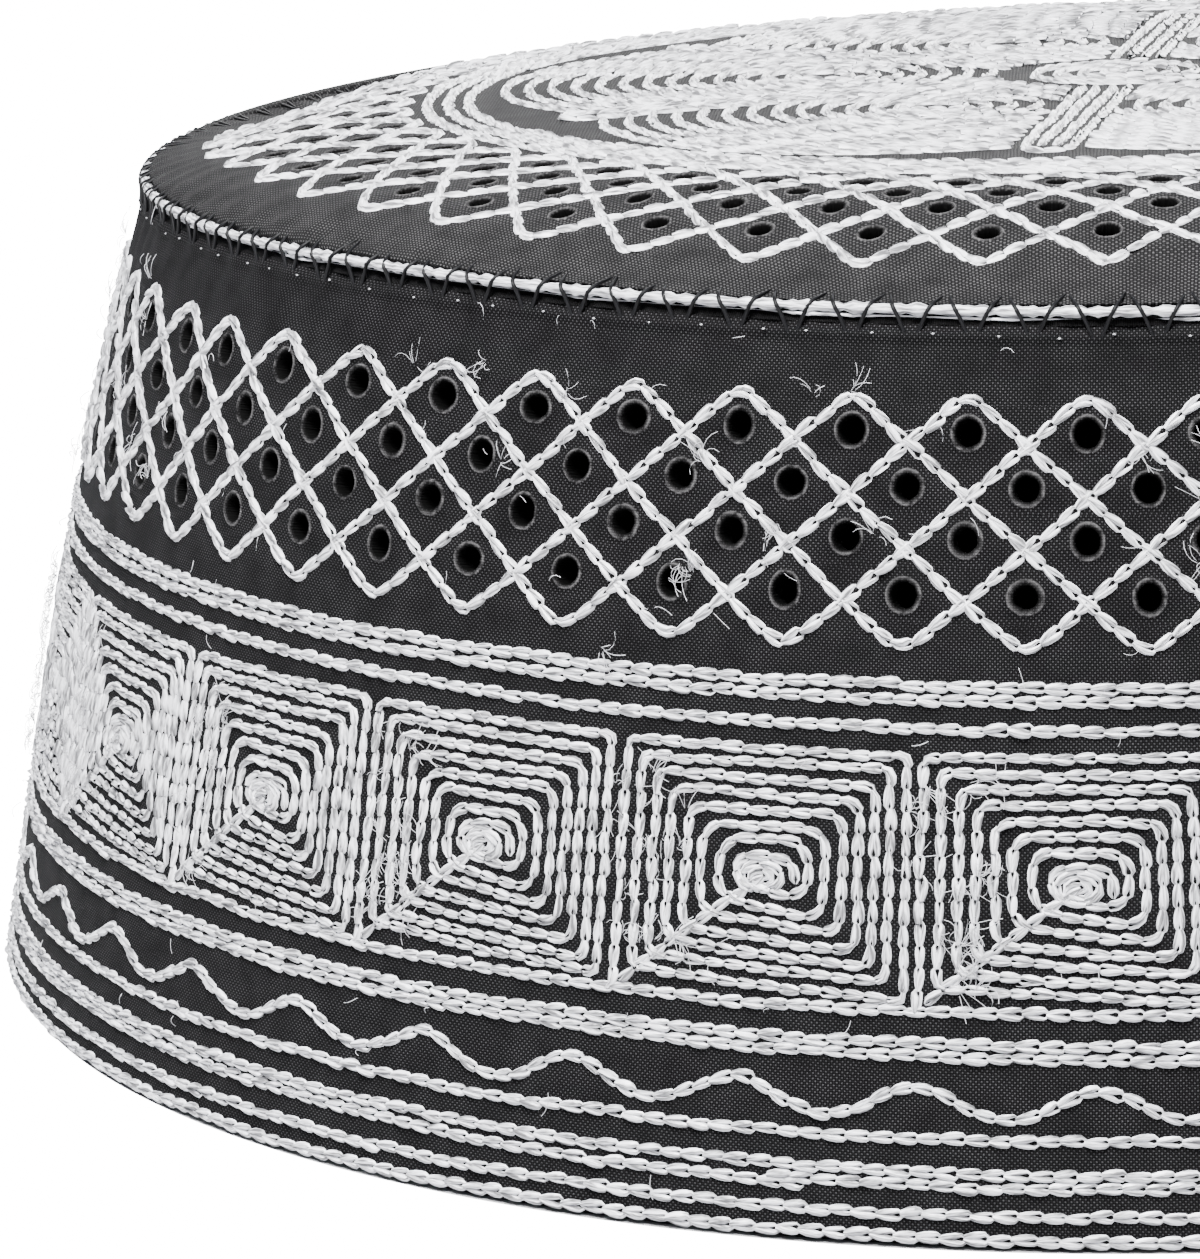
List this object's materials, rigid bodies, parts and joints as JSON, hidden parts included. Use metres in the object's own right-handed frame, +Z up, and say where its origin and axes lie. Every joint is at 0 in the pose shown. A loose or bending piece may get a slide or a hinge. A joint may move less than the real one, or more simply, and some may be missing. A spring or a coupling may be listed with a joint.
{
  "type": "kufi_cap",
  "caption": "Stiff round kufi cap in black cotton: a pierced, leaning side band, a flat softly domed crown and a white cord along the seam between them.",
  "frame": {"origin": "centre of the rim, on the surface that the cap rests on", "axes": "+Z up through the crown, -Y towards the front of the cap, +X to its right as seen from the front"},
  "size_m": [0.1864, 0.1864, 0.0725],
  "materials": {
    "side_cloth": "plain woven black cotton, faint sheen",
    "crown_cloth": "plain woven black cotton, faint sheen",
    "white_thread": "white twisted thread, satin sheen"
  },
  "bodies": {
    "root": {"side_band": "side_cloth", "crown": "crown_cloth", "seam_cord": "white_thread"}
  },
  "joints": []
}
